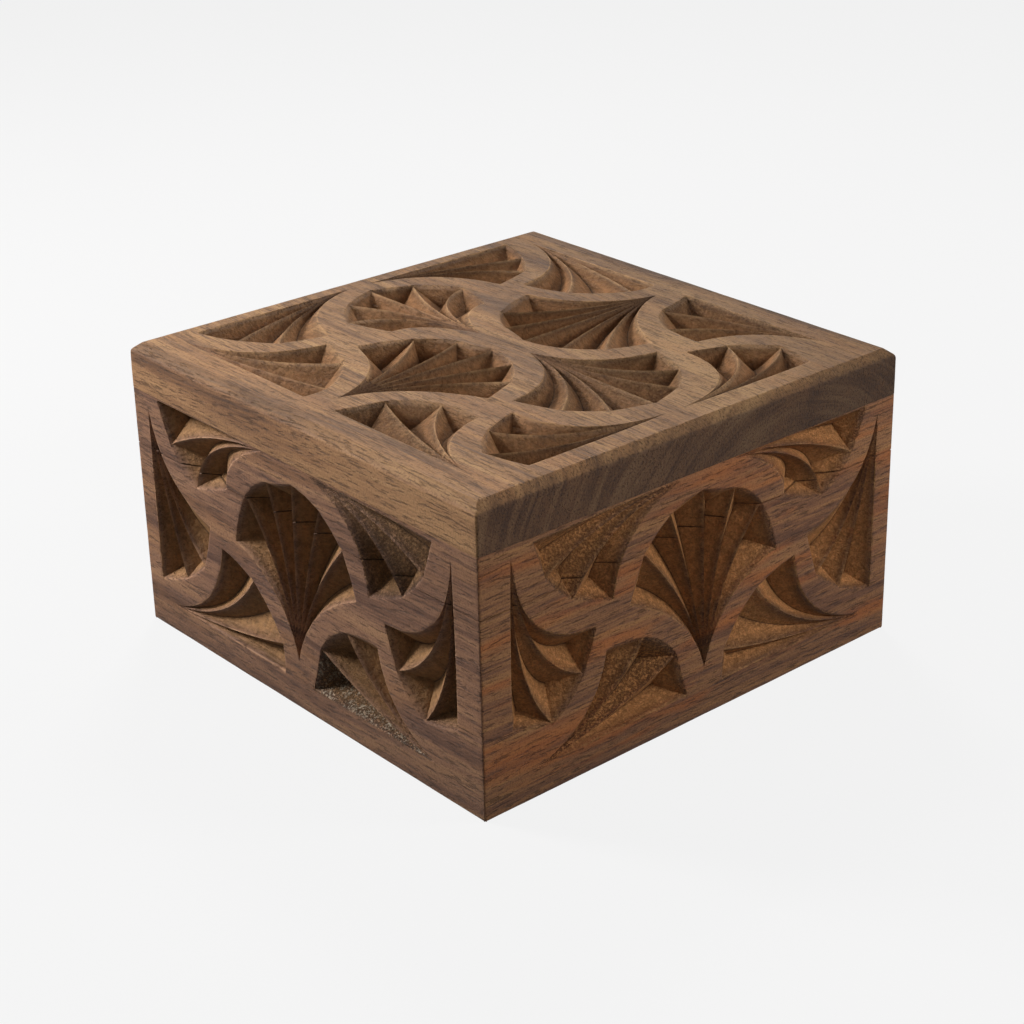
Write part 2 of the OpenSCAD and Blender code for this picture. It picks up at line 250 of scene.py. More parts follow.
def carve_fan(patch, fan, seed):
    """Adds one fan's chips to the patch. Returns the vertex numbers of its outline."""
    tip, ridges, chips = fan
    t = np.linspace(0, 1, FAN_ROWS + 1)
    grid, belly, chip_of = fan_columns(fan, t)
    count = len(belly)
    for j in range(1, FAN_ROWS + 1):
        for k in range(count):
            u, v, _ = grid[j, k]
            wobble = noise.noise(Vector((u * 0.22, v * 0.22, seed)))
            grid[j, k, 2] += belly[k] * t[j] * (BELLY[0] + BELLY[1] * wobble)
    in_chip = [k % PER_CHIP for k in range(count)]
    worn = [CREST_WEAR.get(min(k, PER_CHIP - k), 0.0) for k in in_chip]
    crease = [VALLEY_PAINTED_SHADE.get(abs(k - len(ACROSS_DOWN)), 0.0) for k in in_chip]
    rows = [[patch.add((*tip, EDGE_SINK / 2), 0, 0, TIP_PAINTED_SHADE)] * count]
    for j in range(1, FAN_ROWS + 1):
        near_tip = max(0.0, 1 - t[j] / NEAR_TIP)
        rows.append([
            patch.add(grid[j, k], chips[chip_of[k]][3],
                      worn[k] * (1 - near_tip), crease[k] * (1 - 0.6 * near_tip))
            for k in range(count)
        ])
    # The end facets rise from the last row to the rim. The ridges already end there.
    rim = rim_line(ridges, chips)
    for q in range(1, END_ROWS + 1):
        share = q / END_ROWS
        rise = share ** RIM_RISE
        ids = []
        for k in range(count):
            if in_chip[k] == 0:
                ids.append(rows[FAN_ROWS][k])
                continue
            uv = (1 - share) * grid[-1, k, :2] + share * rim[k, :2]
            d = (1 - rise) * grid[-1, k, 2] + rise * rim[k, 2]
            ids.append(patch.add((*uv, d), chips[chip_of[k]][3], RIM_WEAR * (q == END_ROWS)))
        rows.append(ids)
    for upper, lower in zip(rows, rows[1:]):
        for k in range(count - 1):
            patch.face(upper[k], lower[k], lower[k + 1], upper[k + 1])
    first_side = [row[0] for row in rows[: FAN_ROWS + 1]]
    last_side = [row[-1] for row in rows[1 : FAN_ROWS + 1]]
    return first_side + rows[-1][1:-1] + last_side[::-1]


def inside(points, loop):
    """Which of the points lie inside the closed loop."""
    x, y = points[:, 0], points[:, 1]
    found = np.zeros(len(points), bool)
    a = np.asarray(loop)
    b = np.roll(a, -1, axis=0)
    for (x0, y0), (x1, y1) in zip(a, b):
        crosses = (y0 > y) != (y1 > y)
        if y0 != y1:
            found ^= crosses & (x < (x1 - x0) * (y - y0) / (y1 - y0) + x0)
    return found


def near(points, loop, reach):
    """Which of the points lie closer than reach to the loop's corners."""
    a = np.asarray(loop)
    d = np.sqrt(((points[:, None, :] - a[None, :, :]) ** 2).sum(2)).min(1)
    return d < reach


def beside(loop):
    """Two rows of points just outside a closed outline."""
    follow = np.roll(loop, -1, axis=0)
    ahead = follow - np.roll(loop, 1, axis=0)
    size = np.maximum(np.linalg.norm(ahead, axis=1, keepdims=True), 1e-6)
    normal = np.c_[ahead[:, 1], -ahead[:, 0]] / size
    area = np.sum(loop[:, 0] * follow[:, 1] - follow[:, 0] * loop[:, 1])
    normal *= 1 if area > 0 else -1
    return [loop + normal * away for away in SKIRT]


def loose_points(outlines, across, along, seed):
    """Points for the plain wood: a jittered grid, and rows beside each outline."""
    rng = np.random.default_rng(int(seed * 10) + 7)
    grid = np.array([(u, v) for u in across[1:-1] for v in along[1:-1]])
    grid += rng.uniform(-JITTER, JITTER, grid.shape)
    free = np.vstack([grid] + [row for loop in outlines for row in beside(loop)])
    low = np.array((across[0], along[0]))
    high = np.array((across[-1], along[-1]))
    keep = np.all((free > low + BORDER_GAP) & (free < high - BORDER_GAP), axis=1)
    for loop in outlines:
        keep &= ~inside(free, loop)
        keep &= ~near(free, loop, OUTLINE_GAP)
    return free[keep]


def plain_spot(spot, seed):
    """A point of the plain wood, which lies a little unevenly under the face."""
    u, v = spot
    lump = noise.noise(Vector((u * 0.11, v * 0.11, seed + 40)))
    fine = noise.noise(Vector((u * 0.6, v * 0.6, seed + 60)))
    return u, v, max(0.0, 0.04 + 0.05 * lump + 0.03 * fine)


def ring_edges(start, size):
    """The edges of a closed ring of points numbered from start."""
    return [(start + i, start + (i + 1) % size) for i in range(size)]


def carved_field(fans, low, high, seed):
    """A carved field: the fans, and the plain wood round them as fine triangles."""
    patch = Patch()
    loops = [carve_fan(patch, fan, seed + i) for i, fan in enumerate(fans)]
    outlines = [np.array([patch.points[i][:2] for i in loop]) for loop in loops]
    across = np.linspace(low[0], high[0], int((high[0] - low[0]) / GRID_STEP) + 1)
    along = np.linspace(low[1], high[1], int((high[1] - low[1]) / GRID_STEP) + 1)
    coords = [(u, low[1]) for u in across[:-1]]
    coords += [(high[0], v) for v in along[:-1]]
    coords += [(u, high[1]) for u in across[:0:-1]]
    coords += [(low[0], v) for v in along[:0:-1]]
    owner = [None] * len(coords)
    edges = ring_edges(0, len(coords))
    for loop, outline in zip(loops, outlines):
        edges += ring_edges(len(coords), len(loop))
        coords += [tuple(p) for p in outline]
        owner += loop
    free = loose_points(outlines, across, along, seed)
    coords += [tuple(p) for p in free]
    owner += [None] * len(free)
    verts, _, faces, origin, _, _ = delaunay_2d_cdt(
        [Vector(p) for p in coords], edges, [], 0, 1e-5
    )
    number = {}
    for i, sources in enumerate(origin):
        owned = [owner[s] for s in sources if owner[s] is not None]
        number[i] = owned[0] if owned else patch.add(plain_spot(verts[i], seed))
    centres = np.array([sum((verts[i] for i in f), Vector((0, 0))) / len(f) for f in faces])
    carved = np.zeros(len(faces), bool)
    for outline in outlines:
        carved |= inside(centres, outline)
    for f, gone in zip(faces, carved):
        if not gone:
            patch.face(*(number[i] for i in f))
    return patch


def to_bmesh(patch, place):
    """The patch as an open mesh, with its paint values, placed by a function."""
    bm = bmesh.new()
    layers = {name: bm.verts.layers.float.new(name) for name in PAINTS}
    verts = []
    for point, paint in zip(patch.points, patch.paints):
        vert = bm.verts.new(place(point))
        for name, value in zip(PAINTS, paint):
            vert[layers[name]] = value
        verts.append(vert)
    for face in patch.faces:
        try:
            bm.faces.new([verts[i] for i in face])
        except ValueError:
            pass
    loose = [v for v in bm.verts if not v.link_faces]
    bmesh.ops.delete(bm, geom=loose, context="VERTS")
    return bm


def cut(bm, at, along, clear=None):
    """Cuts the mesh by a plane across one axis; clear drops what is above or below."""
    normal = [0.0, 0.0, 0.0]
    normal[along] = 1.0
    point = [0.0, 0.0, 0.0]
    point[along] = at
    bmesh.ops.bisect_plane(
        bm, geom=bm.verts[:] + bm.edges[:] + bm.faces[:], dist=1e-5,
        plane_co=point, plane_no=normal,
        clear_outer=clear == "above", clear_inner=clear == "below",
    )


def finish_mesh(bm, name, place, material, body, replaces, smooth_deg=32):
    """Turns a mesh in millimetres into a named piece of the object."""
    bmesh.ops.remove_doubles(bm, verts=bm.verts[:], dist=1e-4)
    bmesh.ops.recalc_face_normals(bm, faces=bm.faces[:])
    bmesh.ops.transform(bm, matrix=Matrix.Diagonal((MM, MM, MM, 1)) @ place, verts=bm.verts[:])
    if place.determinant() < 0:
        bmesh.ops.reverse_faces(bm, faces=bm.faces[:])
    mesh = bpy.data.meshes.new(name)
    bm.to_mesh(mesh)
    bm.free()
    mesh.polygons.foreach_set("use_smooth", [True] * len(mesh.polygons))
    mesh.set_sharp_from_angle(angle=math.radians(smooth_deg))
    mesh.materials.append(material)
    piece = bpy.data.objects.new(name, mesh)
    bpy.context.scene.collection.objects.link(piece)
    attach(piece, body)
    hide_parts(*replaces)
    return piece


def roll_corner(along, depth, half):
    """Rounds the vertical corner at the end of a side board, up to its mitre."""
    from_end = half - abs(along)
    if from_end >= CORNER_R:
        return along, depth
    angle = math.radians(45) * (1 - from_end / CORNER_R)
    inset = CORNER_R - CORNER_R * math.sin(angle)
    sink = CORNER_R - CORNER_R * math.cos(angle)
    return math.copysign(half - inset, along), depth + sink


def fill(bm, ring, first, second):
    """Closes a flat ring of vertices with triangles, as seen along the third axis."""
    spots = [Vector((v.co[first], v.co[second])) for v in ring]
    _, _, faces, origin, _, _ = delaunay_2d_cdt(spots, ring_edges(0, len(ring)), [], 1, 1e-7)
    for face in faces:
        bm.faces.new([ring[origin[i][0]] for i in face])


def slice_board(bm, ends, notch):
    """Cuts the board off at both ends, adds the edges that will be softened, and cuts
    out the notch."""
    for z, sink, away in ends:
        inward = sink if away == "below" else -sink
        cut(bm, z + inward, 2)
        cut(bm, z + inward * 0.4, 2)
        cut(bm, z, 2, away)
    for share in CORNER_LOOPS:
        cut(bm, HALF - CORNER_R * share, 0)
        cut(bm, CORNER_R * share - HALF, 0)
    if notch:
        reach, ceiling = notch
        for at, along in ((reach, 0), (-reach, 0), (ceiling, 2)):
            cut(bm, at, along)
        gone = []
        for face in bm.faces:
            middle = face.calc_center_median()
            if abs(middle.x) < reach and middle.z < ceiling:
                gone.append(face)
        bmesh.ops.delete(bm, geom=gone, context="FACES")


def board_borders(bm, z0, z1, notch):
    """The open borders of the sliced board, each as vertices in order."""
    on = lambda value, target: abs(value - target) < 2e-4
    line = lambda keep, key: sorted((v for v in bm.verts if keep(v.co)), key=lambda v: key(v.co))
    by_x, by_z = (lambda co: co.x), (lambda co: co.z)
    borders = {
        "high": line(lambda co: on(co.z, z1), by_x),
        "left": line(lambda co: on(co.x, -HALF), by_z),
        "right": line(lambda co: on(co.x, HALF), by_z),
    }
    if not notch:
        borders["low"] = line(lambda co: on(co.z, z0), by_x)
        return borders
    reach, ceiling = notch
    borders["over"] = line(lambda co: on(co.z, ceiling) and abs(co.x) < reach + 1e-3, by_x)
    for s in (-1, 1):
        borders["foot", s] = line(lambda co: on(co.z, z0) and s * co.x > reach - 1e-3, by_x)
        borders["side", s] = line(lambda co: on(co.x, s * reach) and co.z < ceiling + 1e-3, by_z)
    return borders


def soften_board(bm, ends):
    """Rounds the board's ends and corners, and paints shade on its chips where the board's ends
    cut them.
    """
    paints = {name: bm.verts.layers.float[name] for name in PAINTS}
    for v in bm.verts:
        for z, sink, _ in ends:
            gap = abs(v.co.z - z) / sink
            # Painted shade on the chips where the board's end cuts them, at the seam between parts
            if gap < 1e-3 and v[paints["sunk"]] > 0.05:
                v[paints["worn"]] = 0.0
                v[paints["crease"]] = SEAM_PAINTED_SHADE
            if gap < 1:
                v.co.y += sink * (1 - math.sqrt(1 - (1 - gap) ** 2)) * ROUNDING
        v.co.x, v.co.y = roll_corner(v.co.x, v.co.y, HALF)


def close_board(bm, borders, profile, notch):
    """Closes the board's ends and mitres, and gives it its inside along the profile."""
    inner = {
        sign: [bm.verts.new((sign * (HALF - d), d, z)) for d, z in profile] for sign in (-1, 1)
    }
    fill(bm, borders["high"] + [inner[1][0], inner[-1][0]], 0, 1)
    fill(bm, borders["left"] + inner[-1], 1, 2)
    fill(bm, borders["right"] + inner[1], 1, 2)
    if notch:
        for sign in (-1, 1):
            fill(bm, borders["foot", sign] + [inner[sign][-1]], 0, 1)
            fill(bm, borders["side", sign] + inner[sign][-2:], 1, 2)
        fill(bm, borders["over"] + inner[1][-2:-4:-1] + inner[-1][-3:-1], 0, 1)
    else:
        fill(bm, borders["low"] + [inner[1][-1], inner[-1][-1]], 0, 1)
    steps = 1 if notch else len(profile) - 1
    for k in range(steps):
        bm.faces.new([inner[-1][k], inner[-1][k + 1], inner[1][k + 1], inner[1][k]])


def side_board(whole, z0, z1, profile, sink_low, sink_high, notch=None):
    """A mitred board cut from the carved side between two heights, as a closed mesh.
    The profile is its inside from top to bottom, as (depth, height). A notch, as half
    its width and its height, opens the board's lower edge through its full thickness."""
    bm = whole.copy()
    ends = ((z0, sink_low, "below"), (z1, sink_high, "above"))
    slice_board(bm, ends, notch)
    borders = board_borders(bm, z0, z1, notch)
    soften_board(bm, ends)
    close_board(bm, borders, profile, notch)
    return bm


def perimeter(bm, flat):
    """The edge of the top's flat, as (vertex, direction out, direction along, share of
    the edge). A corner repeats its vertex, with directions that turn and none along."""
    edge = [v for v in bm.verts if max(abs(v.co.x), abs(v.co.y)) > flat - 1e-4]
    loops = []
    for turn in range(4):
        a = turn * math.pi / 2
        out = Vector((math.sin(a), -math.cos(a), 0))
        way = Vector((math.cos(a), math.sin(a), 0))
        side = [v for v in edge if abs(v.co.dot(out) - flat) < 1e-4]
        side.sort(key=lambda v: v.co.dot(way))
        loops += [(v, out, way, v.co.dot(way) / flat) for v in side]
        for k in range(1, CORNER_STEPS):
            b = a + math.pi / 2 * k / CORNER_STEPS
            loops.append((side[-1], Vector((math.sin(b), -math.cos(b), 0)), None, 0))
    return loops


def ring_spot(item, inset, radius, drop, seed):
    """Where one ring of the top board passes a place on its perimeter. Slow dips wear
    the bevel lower, and quick ones press the upper edge inward."""
    vert, out, way, share = item
    reach = HALF - inset - radius
    if way is None:
        corner = [math.copysign(reach, side) for side in vert.co[:2]]
        spot = Vector((*corner, 0)) + out * radius
    else:
        spot = out * (HALF - inset) + way * (share * reach)
    slow = noise.noise(Vector((spot.x * 0.07, spot.y * 0.07, seed)))
    quick = noise.noise(Vector((spot.x * 0.35, spot.y * 0.35, seed + 9 + drop * 0.3)))
    inward = max(0.0, 0.04 + 0.05 * quick) * max(0.0, 1 - drop / 5)
    lower = 0.2 * max(0.0, slow) * max(0.0, 1 - abs(drop - 1) / 1.2)
    kept = 1 - inward / HALF
    return spot.x * kept, spot.y * kept, BODY_H - drop - lower


def top_board(patch, seed):
    """The carved top with its worn bevel, its sides and its underside."""
    bm = to_bmesh(patch, lambda p: (p[0] - HALF, p[1] - HALF, BODY_H - p[2]))
    worn = bm.verts.layers.float["worn"]
    loops = perimeter(bm, HALF - BEVEL)
    previous = [item[0] for item in loops]
    for inset, radius, drop in TOP_RINGS:
        ring = [bm.verts.new(ring_spot(item, inset, radius, drop, seed)) for item in loops]
        for i, vert in enumerate(ring):
            vert[worn] = BEVEL_WEAR * math.exp(-((drop - 0.7) / 0.7) ** 2)
            j = (i + 1) % len(ring)
            corners = [previous[i], vert, ring[j], previous[j]]
            if previous[i] is previous[j]:
                corners = corners[:3]
            bm.faces.new(corners)
        previous = ring
    fill(bm, previous, 0, 1)
    return bm


# ---- Material graphs -----------------------------------------------------------------
class Graph:
    """Builds the nodes of a material or the world with short calls. An input is a value
    or a socket."""

    def __init__(self, owner, output="OutputMaterial"):
        self.owner = owner
        owner.use_nodes = True
        self.tree = owner.node_tree
        self.tree.nodes.clear()
        self.output = self.node(output)

    def node(self, kind, sockets=None, **settings):
        made = self.tree.nodes.new("ShaderNode" + kind)
        for key, value in settings.items():
            setattr(made, key, value)
        for key, value in (sockets or {}).items():
            self.put(made.inputs[key], value)
        return made

    def put(self, socket, value):
        if isinstance(value, bpy.types.NodeSocket):
            self.tree.links.new(value, socket)
        else:
            socket.default_value = value

    def join(self, shader):
        """Links a shader to the output and returns what the graph belongs to."""
        self.put(self.output.inputs[0], shader.outputs[0])
        return self.owner

    def math(self, operation, a, b=0.0):
        return self.node("Math", {0: a, 1: b}, operation=operation).outputs[0]

    def times(self, a, b):
        return self.math("MULTIPLY", a, b)

    def plus(self, a, b):
        return self.math("ADD", a, b)

    def vector(self, operation, a, b):
        return self.node("VectorMath", {0: a, 1: b}, operation=operation).outputs[0]

    def noise(self, vector, scale, detail, rough):
        made = self.node("TexNoise", {
            "Vector": vector, "Scale": scale, "Detail": detail, "Roughness": rough,
        })
        return made.outputs["Fac"]

    def span(self, value, low, high, to_low=0.0, to_high=1.0, smooth=True):
        made = self.node("MapRange", {
            "Value": value, "From Min": low, "From Max": high,
            "To Min": to_low, "To Max": to_high,
        }, interpolation_type="SMOOTHSTEP" if smooth else "LINEAR", clamp=True)
        return made.outputs["Result"]

    def mix(self, share, a, b, kind="MIX"):
        made = self.node("Mix", data_type="RGBA", blend_type=kind)
        self.put(made.inputs[0], share)
        self.put(made.inputs[6], a)
        self.put(made.inputs[7], b)
        return made.outputs[2]

    def tint(self, share, colour, target, factor=1.0):
        """Mixes the colour towards a plain one, made darker or lighter by a factor."""
        return self.mix(share, colour, (*[min(1, factor * c) for c in target], 1))

    def ramp(self, value, stops):
        made = self.node("ValToRGB", {"Fac": value})
        ramp = made.color_ramp
        while len(ramp.elements) < len(stops):
            ramp.elements.new(0.5)
        for element, (place, colour) in zip(ramp.elements, stops):
            element.position = place
            element.color = (*colour, 1)
        return made.outputs["Color"]

    def attribute(self, name):
        made = self.node("Attribute", attribute_name=name, attribute_type="GEOMETRY")
        return made.outputs["Fac"]

    def place(self, turn=(0, 0, 0)):
        """The object's own place in metres, and in millimetres and turned."""
        where = self.node("TexCoord").outputs["Object"]
        turned = self.node("Mapping", {"Vector": where, "Rotation": turn, "Scale": (1 / MM,) * 3})
        return where, turned.outputs[0]

    def finish(self, colour, roughness, height, bump=1.0, **sockets):
        bumped = self.node("Bump", {"Height": height, "Strength": bump, "Distance": MM})
        return self.join(self.node("BsdfPrincipled", {
            "Base Color": colour, "Roughness": roughness, "Normal": bumped.outputs[0],
            **{key.replace("_", " "): value for key, value in sockets.items()},
        }))


def srgb(r, g, b):
    """A colour given as 0 to 255 in sRGB, as scene-linear values."""
    lin = lambda c: c / 12.92 if c <= 0.04045 else ((c + 0.055) / 1.055) ** 2.4
    return tuple(lin(c / 255) for c in (r, g, b))


def wavy(g, moved):
    """The place, bent across the grain by slow waves."""
    wander = g.node("TexNoise", {
        "Vector": g.vector("MULTIPLY", moved, (0.35, 1, 1)),
        "Scale": 0.03, "Detail": 2.0, "Roughness": 0.45,
    })
    waves = g.vector("SUBTRACT", wander.outputs["Color"], (0.5, 0.5, 0.5))
    return g.vector("ADD", moved, g.vector("MULTIPLY", waves, (0, WAVES, WAVES)))


def growth_rings(g, bent, shift, pith):
    """Growth rings of random width: arcs on the end grain, long streaks beside it."""
    from_pith = g.vector("SUBTRACT", g.vector("SUBTRACT", bent, shift), pith)
    across_grain = g.vector("MULTIPLY", from_pith, (0, 1, 1))
    radius = g.node("VectorMath", {0: across_grain}, operation="LENGTH").outputs["Value"]
    split = g.node("SeparateXYZ", {0: bent}).outputs
    rings = g.node("CombineXYZ", {
        0: radius, 1: g.times(split[0], 0.02), 2: g.times(split[1], 0.06),
    })
    return g.noise(rings.outputs[0], 0.55, 4.0, 0.68)


def plain_wood(g, placed, bent, ring, tones, warm, figure):
    """Figure, warm patches, pores and grit, as (colour, height, roughness)."""
    stretched = lambda along: g.vector("MULTIPLY", bent, (along, 1, 1))
    centred = lambda value, share: g.times(g.math("SUBTRACT", value, 0.5), share)
    broad = g.noise(stretched(0.14), 0.11, 2.0, 0.5)
    fibre = g.noise(stretched(0.025), 2.3, 3.0, 0.7)
    specks = g.noise(stretched(0.10), 2.6, 2.0, 0.6)
    grit = g.noise(placed, 2.4, 3.0, 0.7)
    patch = g.noise(g.vector("ADD", stretched(0.12), (70, 30, 50)), 0.16, 3.0, 0.6)
    tone = g.plus(centred(ring, 1.1 * figure), centred(broad, 0.5 * figure))
    tone = g.plus(g.plus(tone, centred(fibre, 0.5)), 0.5)
    colour = g.ramp(tone, list(zip(TONE_STOPS, tones)))
    colour = g.tint(g.times(g.span(patch, 0.5, 0.66), warm[3]), colour, warm[:3])
    pores = g.span(specks, 0.55, 0.65)
    colour = g.tint(g.times(pores, 0.55), colour, tones[0], 0.45)
    colour = g.tint(g.span(grit, 0.35, 0.52, 0.4, 0.0), colour, tones[0], 0.5)
    height = g.plus(g.times(fibre, 0.12), g.times(grit, 0.10))
    height = g.math("SUBTRACT", height, g.times(pores, 0.12))
    return colour, height, g.span(fibre, 0.3, 0.7, 0.55, 0.7)


def end_grain_and_edge_light(g, colour, sides):
    """The colour times a darker factor on the end grain, which is the wood's own, and painted
    light on the long edges.
    """
    facing = g.node("SeparateXYZ", {0: g.node("TexCoord").outputs["Normal"]}).outputs
    for axis, light in enumerate(sides):
        share = g.span(g.math("ABSOLUTE", facing[axis]), 0.55, 0.95)
        colour = g.mix(share, colour, g.mix(1.0, colour, (*light, 1), "MULTIPLY"))
    return colour


def shaded(g, colour, where, shade):
    """The colour times a factor that changes along one axis of the object: painted shade on the
    top, a darker foot on the sides.
    """
    axis, first, last, low, high = shade
    spot = g.node("SeparateXYZ", {0: where}).outputs[axis]
    grey = g.span(spot, first, last, low, high, False)
    grey = g.node("CombineColor", {part: grey for part in ("Red", "Green", "Blue")})
    return g.mix(1.0, colour, grey.outputs[0], "MULTIPLY")


def chip_stain_and_shade(g, colour, placed, bent, sunk, cut_in, cut):
    """Stained cuts, with painted shade that makes them darker the deeper they are. Returns the
    colour and the mottle.
    """
    streaks = g.noise(g.vector("MULTIPLY", bent, (0.2, 1, 1)), 1.3, 3.0, 0.7)
    mottle = g.noise(g.vector("ADD", placed, (9, 5, 3)), 0.9, 4.0, 0.75)
    colour = g.tint(g.span(sunk, 0.04, 0.5, 0.0, 0.9), colour, cut)
    colour = g.tint(g.times(g.span(streaks, 0.35, 0.65, 0.0, 0.35), cut_in), colour, cut, 0.5)
    stain = g.times(g.span(mottle, 0.42, 0.62), cut_in)
    colour = g.tint(g.times(stain, 0.55), colour, cut, 0.35)
    # Painted shade: the deep part of each cut is darkened towards a dark copy of the cut colour
    return g.tint(g.span(sunk, 0.3, 0.95, 0.0, 0.42), colour, cut, 0.3), mottle


def chip_wear_and_shade(g, colour, placed, worn, crease, tones):
    """Painted shade in the valleys, and ridges rubbed pale here and there."""
    # Painted shade: dark lines along the valleys, at the fan tips and where a board's end cuts the
    # chips
    colour = g.tint(g.times(g.math("POWER", crease, 2.0), 0.9), colour, tones[0], 0.16)
    rubbed = g.span(g.noise(placed, 0.35, 3.0, 0.6), 0.35, 0.62, 0.1, 0.6)
    return g.tint(g.times(g.math("POWER", worn, 1.5), rubbed), colour, tones[3], 1.3)


def chip_pits(g, colour, placed, pit, tones, residue):
    """Dark pits, pale flecks and dried polish. Returns the colour and the pits."""
    dots = g.noise(g.vector("ADD", placed, (2, 6, 8)), 2.2, 3.0, 0.8)
    smears = g.noise(g.vector("ADD", placed, (4, 1, 7)), 0.5, 4.0, 0.8)
    hole = g.times(g.span(dots, 0.46, 0.54), pit)
    colour = g.tint(g.times(hole, 0.65), colour, tones[0], 0.12)
    flecks = g.times(g.span(dots, 0.44, 0.38), pit)
    colour = g.tint(g.times(flecks, 0.35), colour, tones[3])
    kept = g.times(g.times(g.span(pit, 0.8, 1.0), g.span(smears, 0.42, 0.6)), residue)
    return g.tint(g.times(kept, g.span(dots, 0.56, 0.44)), colour, POLISH), hole


def wood(name, turn, shift, tones, warm, figure=1.0, pith=(0, 40, -60), cut=None, sides=None,
         shade=None, residue=0.0):
    """Figured hardwood. turn lays the grain along x, tones run from dark to light,
    warm is the hue of its patches and pith the middle of the growth rings. cut is the
    colour inside the chips. sides gives how dark the end grain is and the painted light
    on the long edges, shade how the colour changes along an axis (axis, from, to,
    factor there, factor here), on the top a painted shade, and residue how much pale
    polish has stayed in the roughest chips."""
    g = Graph(bpy.data.materials.new(name))
    where, placed = g.place(turn)
    bent = wavy(g, g.vector("ADD", placed, shift))
    ring = growth_rings(g, bent, shift, pith)
    colour, height, rough = plain_wood(g, placed, bent, ring, tones, warm, figure)
    if sides:
        colour = end_grain_and_edge_light(g, colour, sides)
    if shade:
        colour = shaded(g, colour, where, shade)
    if cut:
        sunk, pit, worn, crease = (g.attribute(paint) for paint in PAINTS)
        cut_in = g.span(sunk, 0.04, 0.2)
        colour, mottle = chip_stain_and_shade(g, colour, placed, bent, sunk, cut_in, cut)
        colour = chip_wear_and_shade(g, colour, placed, worn, crease, tones)
        colour, hole = chip_pits(g, colour, placed, pit, tones, residue)
        gouge = g.noise(g.vector("MULTIPLY", bent, (0.5, 1, 1)), 0.9, 2.0, 0.5)
        height = g.plus(height, g.times(g.times(gouge, cut_in), 0.3))
        height = g.plus(height, g.times(g.times(mottle, cut_in), 0.25))
        height = g.math("SUBTRACT", height, g.times(hole, 0.4))
        rough = g.plus(rough, g.times(cut_in, 0.1))
    return g.finish(colour, rough, height, Specular_IOR_Level=WOOD_GLOSS)


def steel(name):
    """Drawn steel with fine lines along it and dull patches."""
    g = Graph(bpy.data.materials.new(name))
    _, placed = g.place()
    lines = g.noise(g.vector("MULTIPLY", placed, (1, 1, 0.08)), 5.0, 3.0, 0.6)
    stain = g.noise(placed, 0.5, 3.0, 0.6)
    colour = g.mix(g.span(stain, 0.35, 0.7), (*BRIGHT_STEEL, 1), (*DULL_STEEL, 1))
    rough = g.span(lines, 0.3, 0.7, 0.28, 0.46)
    return g.finish(colour, rough, g.times(lines, 0.05), 0.6, Metallic=1.0)


# Wood tones from dark to light, and where on the figure each one stands
TONE_STOPS = (0.26, 0.42, 0.54, 0.74)
TONES_FRONT = [srgb(96, 68, 56), srgb(134, 99, 80), srgb(158, 118, 93), srgb(186, 143, 108)]
TONES_RIGHT = [srgb(74, 52, 44), srgb(124, 87, 67), srgb(160, 115, 81), srgb(187, 139, 91)]
TONES_TOP = [srgb(95, 70, 52), srgb(128, 95, 67), srgb(148, 112, 78), srgb(171, 134, 94)]
TONES_INNER = [srgb(92, 60, 42), srgb(132, 92, 64), srgb(164, 120, 86), srgb(190, 148, 110)]
TONES_PALE = [srgb(150, 112, 76), srgb(182, 144, 102), srgb(206, 170, 126), srgb(226, 196, 152)]
# Colours inside the chips, and of the polish left there
CUT_FRONT = srgb(174, 130, 86)
CUT_RIGHT = srgb(228, 160, 100)
CUT_TOP = srgb(152, 108, 70)
POLISH = srgb(190, 180, 160)
# The top board's darker end grain, which is the wood's own, and painted light on its long edges
END_GRAIN = (0.48, 0.48, 0.57)
# Painted light: the top board's long edges are made lighter
EDGE_PAINTED_LIGHT = (1.16, 1.13, 1.2)
# Hues of the patches, with how strong they are
WARM = (*srgb(172, 124, 82), 0.3)
ORANGE = (*srgb(188, 112, 62), 0.6)
DULL = (*srgb(160, 118, 88), 0.2)
BRIGHT_STEEL = (0.52, 0.52, 0.53)
DULL_STEEL = (0.36, 0.34, 0.33)
WOOD_GLOSS = 0.14
WAVES = 9
# The sides are darker at the foot. The top has painted shade: lighter at its front and darker at
# its back.
FOOT_SHADE = (2, 0.0, 0.016, 0.72, 1.0)
TOP_PAINTED_SHADE = (1, -0.05, 0.05, 1.2, 0.64)
QUARTER = math.pi / 2
# Turns that lay the grain of each board along x
ALONG_X = (0, 0, 0)
ALONG_Y = (0, 0, QUARTER)
UPRIGHT = (0, QUARTER, 0)

finish_front = wood("carved_wood_front", ALONG_X, (13, 7, 31), TONES_FRONT, WARM, 0.9,
                    cut=CUT_FRONT, shade=FOOT_SHADE, residue=0.7)
finish_back = wood("carved_wood_back", ALONG_X, (213, 97, 51), TONES_FRONT, WARM, 0.9,
                   cut=CUT_FRONT, shade=FOOT_SHADE)
finish_right = wood("carved_wood_right", ALONG_Y, (57, 19, 3), TONES_RIGHT, ORANGE, 0.55,
                    cut=CUT_RIGHT, shade=FOOT_SHADE)
finish_left = wood("carved_wood_left", ALONG_Y, (257, 119, 23), TONES_RIGHT, WARM,
                   cut=CUT_RIGHT, shade=FOOT_SHADE)
finish_top = wood("carved_wood_top", ALONG_X, (31, 3, 11), TONES_TOP, WARM, pith=(0, 22, 20),
                  cut=CUT_TOP, sides=(END_GRAIN, EDGE_PAINTED_LIGHT), shade=TOP_PAINTED_SHADE)
finish_inner = wood("planed_wood", UPRIGHT, (5, 50, 9), TONES_INNER, DULL, 0.8)
finish_floor = wood("planed_wood_flat", ALONG_X, (91, 5, 77), TONES_INNER, DULL, 0.8)
finish_panel = wood("planed_wood_panel", ALONG_Y, (15, 5, 97), TONES_FRONT, DULL, 0.8)
finish_dowel = wood("pale_dowel_wood", UPRIGHT, (5, 5, 9), TONES_PALE, DULL, 0.7)
